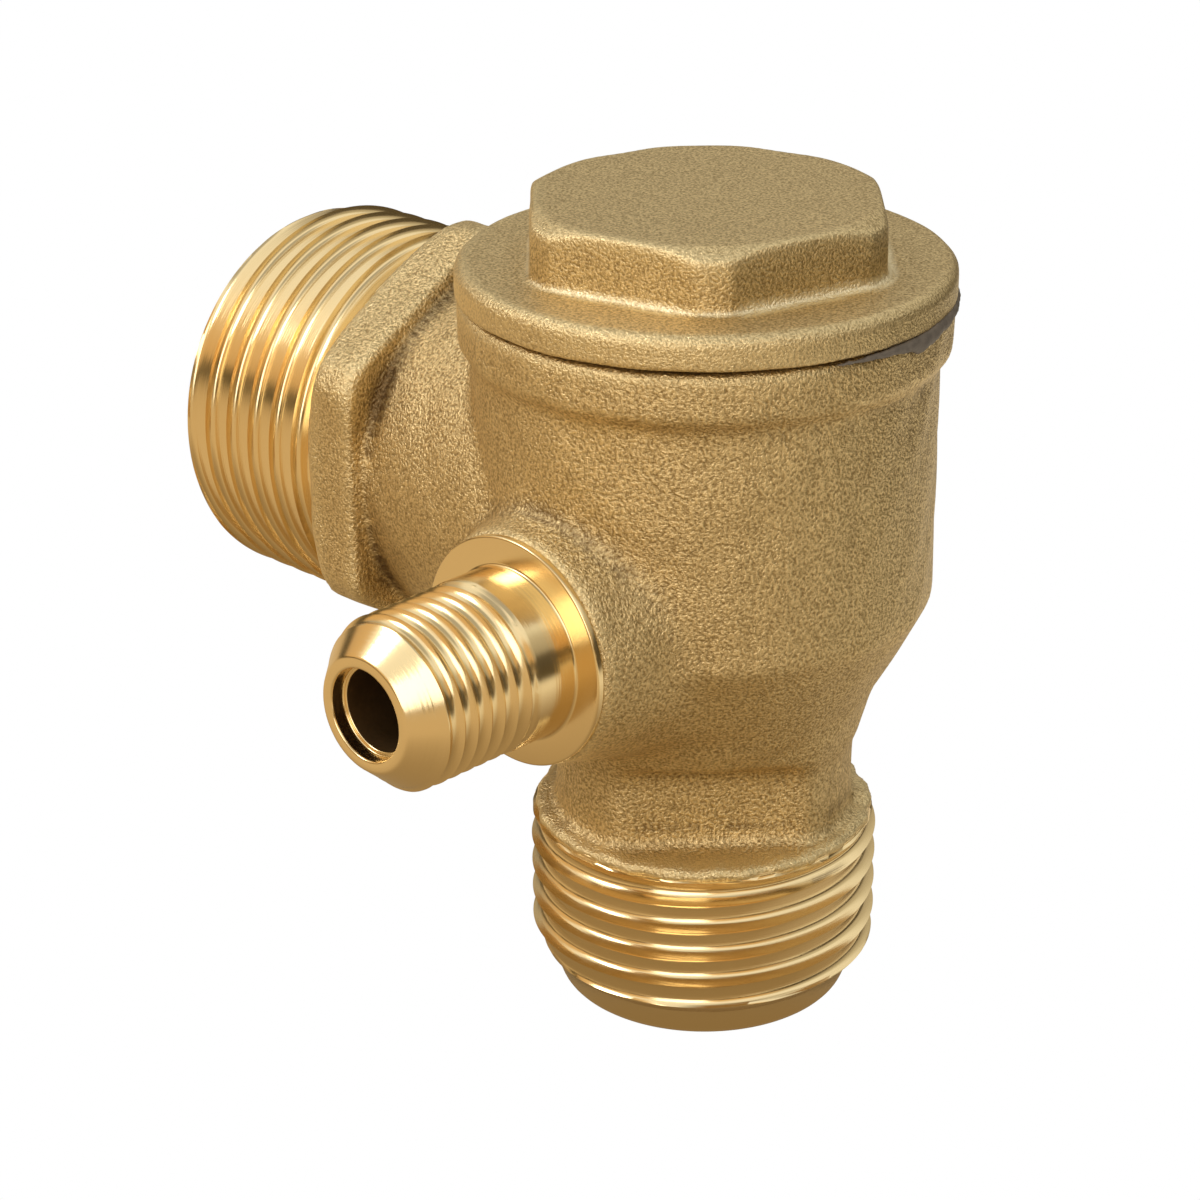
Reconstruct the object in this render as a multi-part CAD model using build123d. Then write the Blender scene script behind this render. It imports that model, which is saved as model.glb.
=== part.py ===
from build123d import *
import os
from math import radians, sin, tan

# Three-way non-return valve of cast brass, in millimetres.
# The barrel stands on +Z with the inlet below, the tank port points along -X
# and the unloader port along -Y. The origin is the centre of the inlet's end face.

# Inlet port, a G 1/2 male thread with a plain nose
inlet_thread_diameter = 20.955
inlet_thread_pitch = 1.814
inlet_nose_end_diameter = 17.5
inlet_nose_top_diameter = 18.7
inlet_nose_length = 2.0
inlet_nose_edge = 0.4
inlet_thread_top = 11.1
inlet_land_top = 11.9
inlet_land_diameter = 20.5
inlet_bore_diameter = 10.0
inlet_socket_diameter = 12.0
inlet_socket_depth = 9.0

# Neck between the inlet thread and the barrel, with two spanner flats
neck_diameter = 17.8
neck_flats = 13.6
neck_flat_angle = -43.0
neck_top = 17.6

# Barrel
barrel_diameter = 26.8
barrel_foot = 26.0
body_height = 43.85
collar_diameter = 28.3
collar_height = 2.6
collar_taper = 0.9
chamber_diameter = 22.0
chamber_foot = 26.4
chamber_floor = 21.6

# Tank port, an M24 x 2 male thread in front of a hexagon
tank_port_height = 30.2
tank_port_end = 33.5
tank_thread_diameter = 24.0
tank_thread_pitch = 2.0
tank_thread_chamfer = 0.7
tank_hexagon_flats = 24.3
tank_hexagon_corners = 27.2
tank_hexagon_outer = 21.4
tank_hexagon_inner = 17.4
tank_hexagon_bevel = 0.8
tank_boss_diameter = 25.4
tank_boss_neck = 22.8
tank_bore_diameter = 17.0
tank_bore_depth = 19.0
tank_passage_diameter = 13.0

# Unloader port, an M10 x 1 male thread with a coned end
unloader_height = 26.7
unloader_end = 27.1
unloader_thread_diameter = 10.0
unloader_thread_pitch = 1.0
unloader_thread_foot = 18.6
unloader_tip_diameter = 6.2
unloader_cone_diameter = 8.7
unloader_cone_length = 1.3
unloader_shank_diameter = 9.6
unloader_face = 15.8
unloader_boss_diameter = 13.6
unloader_boss_taper = 14.0
unloader_mouth_diameter = 5.0
unloader_mouth_depth = 6.5
unloader_bore_diameter = 3.2

# Valve seat, on a tube that rises inside the chamber
seat_height = 31.5
seat_tube_diameter = 15.0
seat_lip_diameter = 12.6
seat_lip_height = 0.8
bridge_width = 7.6
bridge_wall = 1.0

# Hexagon cap
cap_flange_diameter = 28.6
cap_flange_thickness = 2.2
cap_flange_round = 0.5
cap_hexagon_flats = 19.8
cap_hexagon_corners = 21.8
cap_hexagon_height = 3.6
cap_hexagon_chamfer = 0.6
cap_hexagon_turn = 14.2
cap_thread_diameter = 24.0
cap_spigot_length = 4.6
cap_guide_top = 47.2
cap_guide_wall = 1.0

# Moving valve
seal_diameter = 15.4
seal_thickness = 2.4
piston_rim = 1.1
piston_plate = 1.8
piston_skirt = 1.5
stem_diameter = 5.0
stem_length = 7.8
washer_diameter = 8.0
washer_thickness = 0.8
screw_diameter = 3.0
screw_head_diameter = 5.4
screw_head_height = 1.4
screw_grip = 3.4
screw_slot_width = 0.7
screw_slot_depth = 0.6

# Return spring
spring_wire = 0.6
spring_wire_sides = 6
spring_diameter = 9.4
spring_turns = 4
spring_seat_depth = 5.0

# Fits and edges
running_clearance = 0.06
thread_clearance = 0.08
spring_clearance = 0.35
joint_edge = 0.15
turned_edge = 0.5
overlap = 1.0

# Sealant squeezed out of the cap joint
sealant_start_angle = -28.0
sealant_end_angle = 48.0
sealant_height = 1.2
sealant_drop = 0.9
sealant_bulge = 0.28

thread_depth_ratio = 0.6134
hexagon_chamfer_angle = 30.0

cap_spigot_end = body_height - cap_spigot_length
flange_top = body_height + cap_flange_thickness
piston_plate_bottom = seat_height + seal_thickness
piston_plate_top = piston_plate_bottom + piston_plate
guide_bore_diameter = stem_diameter + 2 * running_clearance
guide_tube_diameter = guide_bore_diameter + 2 * cap_guide_wall


def turned(outline):
    """A solid turned about +Z from (radius, height) corners."""
    return revolve(make_face(Plane.XZ * Polyline(*outline, close=True)), Axis.Z)


def rod(diameter, bottom, top):
    """A round bar on +Z between two heights."""
    return Pos(0, 0, bottom) * extrude(Circle(diameter / 2), top - bottom)


def to_tank(solid):
    """Turn a solid from +Z into the tank port's direction, -X."""
    return Pos(0, 0, tank_port_height) * Rot(0, -90, 0) * solid


def to_unloader(solid):
    """Turn a solid from +Z into the unloader port's direction, -Y."""
    return Pos(0, 0, unloader_height) * Rot(90, 0, 0) * solid


def chamfered_hexagon(flats, corners, bottom, top, chamfer):
    """A hexagon with its corners turned down and its upper end chamfered."""
    bar = Pos(0, 0, bottom) * extrude(RegularPolygon(flats / 2, 6, major_radius=False), top - bottom)
    corner = corners / 2
    return bar & turned([
        (0, bottom),
        (corner, bottom),
        (corner, top - chamfer),
        (corner - chamfer / tan(radians(hexagon_chamfer_angle)), top),
        (0, top),
    ])


def thread_ridges(diameter, pitch, start, end):
    """Corners of the row of thread ridges that fits between two heights."""
    crest = diameter / 2
    root = crest - thread_depth_ratio * pitch
    count = int((end - start) / pitch)
    first = (start + end - count * pitch) / 2
    corners = [(root, first)]
    for turn in range(count):
        low = first + turn * pitch
        corners += [(crest, low + pitch / 2), (root, low + pitch)]
    return corners


def inlet_outline():
    """Half section of the inlet port from the nose up to the neck."""
    nose_end = inlet_nose_end_diameter / 2
    return [
        (0, 0),
        (nose_end - inlet_nose_edge, 0),
        (nose_end, inlet_nose_edge),
        (inlet_nose_top_diameter / 2, inlet_nose_length),
        *thread_ridges(inlet_thread_diameter, inlet_thread_pitch, inlet_nose_length, inlet_thread_top),
        (inlet_land_diameter / 2, inlet_thread_top),
        (inlet_land_diameter / 2, inlet_land_top),
        (0, inlet_land_top),
    ]


def neck():
    """The round neck with its two spanner flats."""
    bar = rod(neck_diameter, inlet_land_top - overlap, neck_top + overlap)
    keep = Box(neck_flats, 2 * neck_diameter, 4 * neck_top)
    return bar & Rot(0, 0, neck_flat_angle) * keep


def barrel():
    """The round barrel, coned below and collared above."""
    radius = barrel_diameter / 2
    collar = collar_diameter / 2
    collar_foot = body_height - collar_height
    return turned([
        (0, neck_top),
        (neck_diameter / 2, neck_top),
        (radius, barrel_foot),
        (radius, collar_foot - collar_taper),
        (collar, collar_foot),
        (collar, body_height - joint_edge),
        (collar - joint_edge, body_height),
        (0, body_height),
    ])


def tank_boss():
    """The cast arm that carries the tank port, tapered towards its hexagon and kept below the cap."""
    wide = tank_boss_diameter / 2
    narrow = tank_boss_neck / 2
    arm = to_tank(turned([
        (0, 0),
        (wide, 0),
        (wide, seat_tube_diameter / 2),
        (narrow, tank_hexagon_inner),
        (narrow, tank_hexagon_inner + overlap),
        (0, tank_hexagon_inner + overlap),
    ]))
    return arm & rod(2 * tank_port_end, 0, body_height)


def tank_thread():
    """The tank port's hexagon and male thread."""
    crest = tank_thread_diameter / 2
    end = crest - tank_thread_chamfer
    root = crest - thread_depth_ratio * tank_thread_pitch
    thread_end = tank_port_end - tank_thread_pitch / 2
    thread = turned([
        (0, tank_hexagon_outer - overlap),
        (root, tank_hexagon_outer - overlap),
        *thread_ridges(tank_thread_diameter, tank_thread_pitch, tank_hexagon_outer, thread_end),
        (crest, tank_port_end - tank_thread_chamfer),
        (end, tank_port_end),
        (0, tank_port_end),
    ])
    hexagon = chamfered_hexagon(
        tank_hexagon_flats, tank_hexagon_corners, tank_hexagon_inner, tank_hexagon_outer, tank_hexagon_bevel
    )
    return to_tank(thread + hexagon)


def unloader_boss():
    """The cast foot of the unloader port on the barrel."""
    face = unloader_boss_diameter / 2
    start = seat_tube_diameter / 2
    root = face + (unloader_face - start) * tan(radians(unloader_boss_taper))
    return to_unloader(turned([(0, start), (root, start), (face, unloader_face), (0, unloader_face)]))


def unloader_thread():
    """The unloader port's shank, male thread and coned end."""
    shank = unloader_shank_diameter / 2
    cone = unloader_cone_diameter / 2
    thread_end = unloader_end - unloader_cone_length
    return to_unloader(turned([
        (0, unloader_face - overlap),
        (shank, unloader_face - overlap),
        (shank, unloader_thread_foot),
        *thread_ridges(unloader_thread_diameter, unloader_thread_pitch, unloader_thread_foot, thread_end),
        (cone, thread_end),
        (unloader_tip_diameter / 2, unloader_end),
        (0, unloader_end),
    ]))


def chamber():
    """The space inside the barrel, with the cap's thread at its mouth."""
    wide = chamber_diameter / 2
    narrow = seat_tube_diameter / 2
    mouth = cap_thread_diameter / 2
    return turned([
        (0, chamber_floor),
        (narrow, chamber_floor),
        (wide, chamber_foot),
        (wide, cap_spigot_end),
        (mouth, cap_spigot_end),
        (mouth, body_height),
        (0, body_height),
    ])


def seat_tube():
    """The tube that carries the valve seat, with the bridge to the unloader port."""
    outer = seat_tube_diameter / 2
    lip = seat_lip_diameter / 2
    tube = turned([
        (0, chamber_floor - overlap),
        (outer, chamber_floor - overlap),
        (outer, seat_height - seat_lip_height),
        (lip, seat_height - seat_lip_height),
        (lip, seat_height),
        (0, seat_height),
    ])
    wall = (barrel_diameter + chamber_diameter) / 4
    top = unloader_height + bridge_width / 2
    web = Pos(0, -wall / 2, (chamber_floor + top) / 2) * Box(bridge_width, wall, top - chamber_floor)
    inside = turned([
        (0, neck_top),
        (neck_diameter / 2 - bridge_wall, neck_top),
        (barrel_diameter / 2 - bridge_wall, barrel_foot),
        (barrel_diameter / 2 - bridge_wall, seat_height),
        (0, seat_height),
    ])
    return tube + (web & inside)


def inlet_bore():
    """The inlet's way up to the seat."""
    return rod(inlet_bore_diameter, 0, seat_height) + rod(inlet_socket_diameter, 0, inlet_socket_depth)


def tank_bore():
    """The tank port's bore, with a narrower passage into the chamber."""
    wide = tank_bore_diameter / 2
    narrow = tank_passage_diameter / 2
    step = tank_port_end - tank_bore_depth
    inner = seat_tube_diameter / 2
    return to_tank(turned([
        (0, inner),
        (narrow, inner),
        (narrow, step),
        (wide, step),
        (wide, tank_port_end),
        (0, tank_port_end),
    ]))


def unloader_bore():
    """The unloader port's stepped hole into the seat tube."""
    wide = unloader_mouth_diameter / 2
    narrow = unloader_bore_diameter / 2
    step = unloader_end - unloader_mouth_depth
    return to_unloader(turned([
        (0, 0),
        (narrow, 0),
        (narrow, step - (wide - narrow)),
        (wide, step),
        (wide, unloader_end),
        (0, unloader_end),
    ]))


def valve_body():
    """The one-piece casting with its three threaded ports."""
    casting = barrel() + tank_boss()
    casting += unloader_boss()
    casting += neck()
    body = casting + turned(inlet_outline())
    body += tank_thread()
    body += unloader_thread()
    body -= chamber()
    body -= tank_bore()
    body += seat_tube()
    body -= inlet_bore()
    body -= unloader_bore()
    return body


def hex_cap():
    """The hexagon cap with its flange, spigot, spring seat and stem guide."""
    flange = cap_flange_diameter / 2
    spigot = cap_thread_diameter / 2 - thread_clearance
    cap = turned([
        (0, cap_spigot_end),
        (spigot, cap_spigot_end),
        (spigot, body_height),
        (flange - joint_edge, body_height),
        (flange, body_height + joint_edge),
        (flange, flange_top - cap_flange_round),
        (flange - cap_flange_round, flange_top),
        (0, flange_top),
    ])
    head_top = flange_top + cap_hexagon_height
    head = chamfered_hexagon(
        cap_hexagon_flats, cap_hexagon_corners, body_height, head_top, cap_hexagon_chamfer
    )
    cap += Rot(0, 0, cap_hexagon_turn) * head
    cap -= rod(guide_bore_diameter, cap_spigot_end, cap_guide_top)
    seat_outer = spring_diameter + spring_wire + 2 * spring_clearance
    spring_seat = rod(seat_outer, cap_spigot_end, cap_spigot_end + spring_seat_depth)
    spring_seat -= rod(guide_tube_diameter, cap_spigot_end, cap_spigot_end + spring_seat_depth)
    return cap - spring_seat


def valve_piston():
    """The cup that holds the seal, with the stem that guides it."""
    seal = seal_diameter / 2
    rim = seal + piston_rim
    stem = stem_diameter / 2
    top = piston_plate_top + stem_length
    cup = turned([
        (0, piston_plate_bottom),
        (seal, piston_plate_bottom),
        (seal, piston_plate_bottom - piston_skirt),
        (rim, piston_plate_bottom - piston_skirt),
        (rim, piston_plate_top - turned_edge),
        (rim - turned_edge, piston_plate_top),
        (stem, piston_plate_top),
        (stem, top - turned_edge),
        (stem - turned_edge, top),
        (0, top),
    ])
    return cup - rod(screw_diameter, piston_plate_bottom, piston_plate_bottom + screw_grip)


def seal_disc():
    """The rubber disc that closes the seat."""
    disc = rod(seal_diameter, seat_height, seat_height + seal_thickness)
    return disc - rod(screw_diameter, seat_height, seat_height + seal_thickness)


def seal_washer():
    """The washer that spreads the screw's clamp over the seal."""
    washer = rod(washer_diameter, seat_height - washer_thickness, seat_height)
    return washer - rod(screw_diameter, seat_height - washer_thickness, seat_height)


def seal_screw():
    """The slotted screw that clamps washer and seal to the piston."""
    head_top = seat_height - washer_thickness
    head_bottom = head_top - screw_head_height
    screw = rod(screw_head_diameter, head_bottom, head_top)
    screw += rod(screw_diameter, head_top, piston_plate_bottom + screw_grip)
    slot = Pos(0, 0, head_bottom) * Box(screw_head_diameter, screw_slot_width, 2 * screw_slot_depth)
    return screw - slot


def return_spring():
    """The closing spring round the stem, from the piston into the cap."""
    bottom = piston_plate_top + spring_wire / 2
    top = cap_spigot_end + spring_seat_depth - spring_wire / 2
    radius = spring_diameter / 2
    path = Helix((top - bottom) / spring_turns, top - bottom, radius)
    start = path @ 0
    across = Plane(start, x_dir=(1, 0, 0), z_dir=path % 0)
    section = across * RegularPolygon(spring_wire / 2, spring_wire_sides)
    return Pos(0, 0, bottom) * sweep(section, path, is_frenet=True)


def thread_sealant():
    """The sealant squeezed out of the cap joint and smeared round the flange."""
    flange = cap_flange_diameter / 2
    outer = flange + sealant_bulge
    middle = (sealant_start_angle + sealant_end_angle) / 2
    half_span = (sealant_end_angle - sealant_start_angle) / 2
    reach = flange * sin(radians(half_span))
    bottom = body_height - sealant_drop
    centre = bottom + sealant_height / 2
    band = rod(2 * outer, bottom, bottom + sealant_height) - rod(collar_diameter, bottom, body_height)
    band -= rod(cap_flange_diameter, body_height, bottom + sealant_height)
    smear = extrude(Plane.YZ * Pos(0, centre) * Ellipse(reach, sealant_height / 2), outer)
    return band & Rot(0, 0, middle) * smear


def export_parts():
    """Write every piece to its own file."""
    pieces = {
        "valve_body": valve_body(),
        "hex_cap": hex_cap(),
        "valve_piston": valve_piston(),
        "seal_disc": seal_disc(),
        "seal_washer": seal_washer(),
        "seal_screw": seal_screw(),
        "return_spring": return_spring(),
        "thread_sealant": thread_sealant(),
    }
    os.makedirs("parts", exist_ok=True)
    for name, piece in pieces.items():
        piece.label = name
        export_step(piece, f"parts/{name}.step")


export_parts()
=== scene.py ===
import math
import bmesh
import bpy
import numpy as np
from mathutils import Matrix, Vector


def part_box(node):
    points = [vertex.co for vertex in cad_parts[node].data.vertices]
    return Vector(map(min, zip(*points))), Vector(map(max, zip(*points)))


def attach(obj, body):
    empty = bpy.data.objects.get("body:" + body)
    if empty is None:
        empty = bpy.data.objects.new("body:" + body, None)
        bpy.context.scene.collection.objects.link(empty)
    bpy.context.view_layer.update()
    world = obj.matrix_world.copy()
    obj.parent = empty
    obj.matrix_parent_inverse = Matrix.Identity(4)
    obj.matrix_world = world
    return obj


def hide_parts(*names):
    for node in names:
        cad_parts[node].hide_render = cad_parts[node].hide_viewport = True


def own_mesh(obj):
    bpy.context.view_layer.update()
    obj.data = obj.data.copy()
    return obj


# Three-way brass non-return valve. Sizes are in millimetres and become metres when a mesh is made.
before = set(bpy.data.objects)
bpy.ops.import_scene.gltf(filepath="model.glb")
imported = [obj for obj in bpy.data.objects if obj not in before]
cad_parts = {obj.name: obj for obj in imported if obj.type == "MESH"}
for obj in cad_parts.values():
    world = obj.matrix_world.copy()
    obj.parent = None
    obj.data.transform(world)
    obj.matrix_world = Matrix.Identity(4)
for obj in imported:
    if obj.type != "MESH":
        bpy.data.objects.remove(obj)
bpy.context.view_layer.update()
mm = 0.001
pastAxis = -20.0  # a turned outline runs on past its axis, so that the axis is no wall
crowdingReach = 1.5  # how far round a point its corners and edges are felt
rowCrowding = 0.125  # how strongly a thread's rows gather at its crests
chamferSlope = math.tan(math.radians(30))

casting = {
    "neckDiameter": 17.8, "neckFlats": 13.6, "neckFlatAngle": -43.0, "neckFoot": 11.7, "neckTop": 17.6,
    "barrelDiameter": 26.8, "barrelFoot": 26.0, "height": 43.85, "collarDiameter": 28.3,
    "collarHeight": 2.6, "collarTaper": 0.9, "chamberDiameter": 22.0, "chamberFoot": 26.4,
    "chamberFloor": 21.6, "capThread": 24.0, "capThreadLength": 4.6, "tubeDiameter": 15.0,
    "seatHeight": 31.5, "lipDiameter": 12.6, "lipHeight": 0.8, "bridgeWidth": 7.6, "landDiameter": 20.5,
    "landFoot": 11.15, "landTop": 11.9, "inletBore": 10.0, "spacing": 0.312, "neckBlend": 2.2,
    "landBlend": 0.5, "landRagged": 0.04, "armBlend": 0.35, "bossBlend": 0.8, "ripple": 0.03,
}
tankArm = {
    "height": 30.2, "wide": 25.4, "narrow": 22.3, "taperStart": 7.5, "hexagonInner": 17.4,
    "hexagonOuter": 21.4, "flats": 24.3, "corners": 27.2, "chamfer": 0.8, "bore": 17.0, "boreStart": 14.5,
    "passage": 13.0,
}
unloaderBoss = {"height": 26.7, "face": 15.62, "diameter": 13.6, "taper": 14.0, "start": 7.5, "bore": 3.2}


def turnedDistance(across, along, outline):
    # Signed distance to a closed outline of (radius, height) corners, negative inside
    nearest = np.full(np.broadcast(across, along).shape, 1e9, np.float32)
    inside = np.zeros(nearest.shape, bool)
    for (a0, b0), (a1, b1) in zip(outline, outline[1:] + outline[:1]):
        da, db = a1 - a0, b1 - b0
        share = np.clip(((across - a0) * da + (along - b0) * db) / (da * da + db * db), 0, 1)
        nearest = np.minimum(nearest, (across - a0 - share * da) ** 2 + (along - b0 - share * db) ** 2)
        if db:
            inside ^= ((b0 > along) != (b1 > along)) & (across < da * (along - b0) / db + a0)
    return np.where(inside, -1, 1).astype(np.float32) * np.sqrt(nearest)


def rodDistance(across, along, radius, low, high):
    return turnedDistance(across, along, [(pastAxis, low), (radius, low), (radius, high), (pastAxis, high)])


def blendedUnion(first, second, blend):
    share = np.clip(0.5 + 0.5 * (second - first) / blend, 0, 1)
    return second * (1 - share) + first * share - blend * share * (1 - share)


def blendedOverlap(first, second, blend):
    return -blendedUnion(-first, -second, blend)


def hexagonDistance(across, up, flats, blend):
    # Six flats, two of them square to the first direction
    turns = (0, math.pi / 3, -math.pi / 3)
    walls = [np.abs(across * math.cos(turn) + up * math.sin(turn)) - flats / 2 for turn in turns]
    return blendedOverlap(blendedOverlap(walls[0], walls[1], blend), walls[2], blend)


def soften(field, rounds):
    # Rounds every edge a little, as tumbling does
    for _ in range(rounds):
        for axis in range(3):
            field = (np.roll(field, 1, axis) + 2 * field + np.roll(field, -1, axis)) / 4
    return field


def fieldGrid(low, high, spacing):
    axes = [np.arange(a, b + spacing, spacing, dtype=np.float32) for a, b in zip(low, high)]
    return axes[0][:, None, None], axes[1][None, :, None], axes[2][None, None, :]


def crowding(field, spacing):
    # Share of solid around each point: a half on a flat wall, more in a corner, less on an edge
    share = (field < 0).astype(np.float32)
    reach = round(crowdingReach / spacing)
    for axis in range(3):
        share = sum(np.roll(share, step, axis) for step in range(-reach, reach + 1)) / (2 * reach + 1)
    return share


def addPiece(name, mesh):
    piece = bpy.data.objects.new(name, mesh)
    bpy.context.scene.collection.objects.link(piece)
    print("made", name, len(mesh.polygons), "faces")
    return piece


def meshFromField(name, field, low, spacing, finishes, cutField=None, outside=None):
    # Surface nets: one vertex in each cell that the surface crosses, one face for each crossed grid edge
    solid = field < 0
    filled = sum(
        solid[i:field.shape[0] - 1 + i, j:field.shape[1] - 1 + j, k:field.shape[2] - 1 + k].astype(np.int8)
        for i in (0, 1) for j in (0, 1) for k in (0, 1)
    )
    cells = np.argwhere((filled > 0) & (filled < 8))
    number = np.full(filled.shape, -1, np.int64)
    number[tuple(cells.T)] = np.arange(len(cells))
    total = np.zeros((len(cells), 3))
    count = np.zeros(len(cells))
    for axis in range(3):
        step = np.eye(3, dtype=int)[axis]
        others = [t for t in range(3) if t != axis]
        for i in (0, 1):
            for j in (0, 1):
                corner = np.zeros(3, int)
                corner[others] = i, j
                near = field[tuple((cells + corner).T)]
                far = field[tuple((cells + corner + step).T)]
                crossed = (near < 0) != (far < 0)
                share = np.where(crossed, near / np.where(crossed, near - far, 1), 0)
                total += crossed[:, None] * (corner + share[:, None] * step)
                count += crossed
    points = (cells + total / count[:, None]) * spacing + np.array(low)
    faces = []
    for axis in range(3):
        one, two = (axis + 1) % 3, (axis + 2) % 3
        ahead = np.roll(solid, -1, axis)
        edges = np.argwhere(solid != ahead)
        keep = (edges[:, axis] < field.shape[axis] - 1) & (edges[:, one] > 0) & (edges[:, two] > 0)
        edges = edges[keep]
        ring = []
        for i, j in ((1, 1), (0, 1), (0, 0), (1, 0)):
            cell = edges.copy()
            cell[:, one] -= i
            cell[:, two] -= j
            ring.append(number[tuple(cell.T)])
        quads = np.stack(ring, 1)
        outward = solid[tuple(edges.T)]
        quads[~outward] = quads[~outward][:, ::-1]
        faces.append(quads)
    faces = np.concatenate(faces)
    mesh = bpy.data.meshes.new(name)
    mesh.from_pydata(points * mm, [], faces)
    mesh.update()
    mesh.shade_smooth()
    for finish in finishes:
        mesh.materials.append(finish)
    # Faces next to the cut surface take the second finish, the painted shade of the hollows
    if cutField is not None:
        reach = np.abs(cutField[tuple(cells.T)]) < 2 * spacing
        mesh.polygons.foreach_set("material_index", reach[faces[:, 0]].astype(np.int32))
    if outside is not None:
        corners = mesh.attributes.new("crowding", "FLOAT", "POINT")
        corners.data.foreach_set("value", crowding(outside, spacing)[tuple(cells.T)])
    return addPiece(name, mesh)


# Finishes

def newFinish(name, colour, metallic, roughness):
    finish = bpy.data.materials.new(name)
    finish.use_nodes = True
    shader = finish.node_tree.nodes["Principled BSDF"]
    shader.inputs["Base Color"].default_value = (*colour, 1)
    shader.inputs["Metallic"].default_value = metallic
    shader.inputs["Roughness"].default_value = roughness
    return finish, finish.node_tree, shader


def addNode(tree, kind, settings=None, **inputs):
    node = tree.nodes.new(kind)
    for key, value in (settings or {}).items():
        setattr(node, key, value)
    for key, value in inputs.items():
        node.inputs[key.replace("_", " ")].default_value = value
    return node


def addNoise(tree, scale, detail=3.0, roughness=0.55, stretch=None):
    place = addNode(tree, "ShaderNodeTexCoord").outputs["Object"]
    if stretch:
        mapping = addNode(tree, "ShaderNodeMapping", Scale=stretch)
        tree.links.new(place, mapping.inputs["Vector"])
        place = mapping.outputs["Vector"]
    noise = addNode(tree, "ShaderNodeTexNoise", Scale=scale, Detail=detail, Roughness=roughness)
    tree.links.new(place, noise.inputs["Vector"])
    return noise.outputs["Fac"]


def addRamp(tree, source, stops):
    ramp = addNode(tree, "ShaderNodeValToRGB")
    elements = ramp.color_ramp.elements
    while len(elements) < len(stops):
        elements.new(0.5)
    for element, (place, colour) in zip(elements, stops):
        element.position = place
        element.color = (*colour, 1)
    tree.links.new(source, ramp.inputs["Fac"])
    return ramp.outputs["Color"]


def addMix(tree, factor, first, second):
    # The second colour is either a socket or a plain colour
    mixed = addNode(tree, "ShaderNodeMix", {"data_type": "RGBA"})
    colours = [socket for socket in mixed.inputs if socket.type == "RGBA"]
    tree.links.new(factor, mixed.inputs[0])
    tree.links.new(first, colours[0])
    if isinstance(second, tuple):
        colours[1].default_value = (*second, 1)
    else:
        tree.links.new(second, colours[1])
    return [socket for socket in mixed.outputs if socket.type == "RGBA"][0]


def addBump(tree, height, strength, distance, under=None):
    bump = addNode(tree, "ShaderNodeBump", Strength=strength, Distance=distance)
    tree.links.new(height, bump.inputs["Height"])
    if under:
        tree.links.new(under, bump.inputs["Normal"])
    return bump.outputs["Normal"]


# corner is a painted shade colour for corners and creases; edge is a pale colour for edges, partly rubbed
# wear and partly a painted highlight
castLook = {
    "dark": (0.4, 0.29, 0.135), "light": (0.86, 0.68, 0.37), "roughness": 0.4,
    "grainScale": 5600.0, "grainHeight": 0.00016, "skinScale": 700.0, "skinHeight": 0.00006,
    "corner": (0.12, 0.07, 0.03), "edge": (0.86, 0.72, 0.42), "cornerStart": 0.56, "cornerEnd": 0.72,
    "edgeStart": 0.42, "edgeEnd": 0.1, "mostReach": 0.85, "rougher": 0.12, "smoother": 0.1,
}


def castFinish(name, look):
    # Painted light: the corner colour goes into corners and creases, where solid crowds round a point, and
    # the edge colour onto edges; on cast brass these are painted shade and pale edges that are partly rubbed
    # wear, partly painted highlight
    finish, tree, shader = newFinish(name, look["light"], 1.0, look["roughness"])
    grain = addNoise(tree, look["grainScale"], 2.0, 0.6)
    skin = addNoise(tree, look["skinScale"], 2.0, 0.5)
    colour = addRamp(tree, grain, [(0.36, look["dark"]), (0.62, look["light"])])
    crowd = addNode(tree, "ShaderNodeAttribute", {"attribute_name": "crowding"}).outputs["Fac"]
    # Paint the corner and edge colours by how crowded each point is: painted shade and painted highlight
    for place in ("corner", "edge"):
        start, end = look[place + "Start"], look[place + "End"]
        reach = addNode(tree, "ShaderNodeMapRange", From_Min=start, From_Max=end, To_Max=look["mostReach"])
        tree.links.new(crowd, reach.inputs["Value"])
        colour = addMix(tree, reach.outputs["Result"], colour, look[place])
    tree.links.new(colour, shader.inputs["Base Color"])
    dull, bright = look["roughness"] + look["rougher"], look["roughness"] - look["smoother"]
    rough = addNode(tree, "ShaderNodeMapRange", To_Min=dull, To_Max=bright)
    tree.links.new(grain, rough.inputs["Value"])
    tree.links.new(rough.outputs["Result"], shader.inputs["Roughness"])
    under = addBump(tree, skin, 0.5, look["skinHeight"])
    tree.links.new(addBump(tree, grain, 0.9, look["grainHeight"], under), shader.inputs["Normal"])
    return finish


machinedLook = {
    "colour": (0.87, 0.69, 0.39), "roughness": 0.15, "rougher": 0.14, "smoother": 0.06, "lineScale": 7000.0,
    "lineHeight": 0.00002, "stainScale": 380.0,
}


def machinedFinish(name, look):
    # Turning lines follow the "along" attribute, which holds the distance along each port's axis
    finish, tree, shader = newFinish(name, look["colour"], 1.0, look["roughness"])
    along = addNode(tree, "ShaderNodeAttribute", {"attribute_name": "along"}).outputs["Fac"]
    place = addNode(tree, "ShaderNodeCombineXYZ")
    tree.links.new(along, place.inputs["X"])
    lines = addNode(tree, "ShaderNodeTexNoise", Scale=look["lineScale"], Detail=2.0)
    tree.links.new(place.outputs["Vector"], lines.inputs["Vector"])
    stain = addNoise(tree, look["stainScale"], 4.0, 0.6)
    bright, dull = look["roughness"] - look["smoother"], look["roughness"] + look["rougher"]
    rough = addNode(tree, "ShaderNodeMapRange", To_Min=bright, To_Max=dull)
    tree.links.new(stain, rough.inputs["Value"])
    tree.links.new(rough.outputs["Result"], shader.inputs["Roughness"])
    tree.links.new(addBump(tree, lines.outputs["Fac"], 0.6, look["lineHeight"]), shader.inputs["Normal"])
    return finish


mottledLook = {"darkest": 0.7, "roughnessSwing": 0.08, "height": 0.00002}


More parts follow.
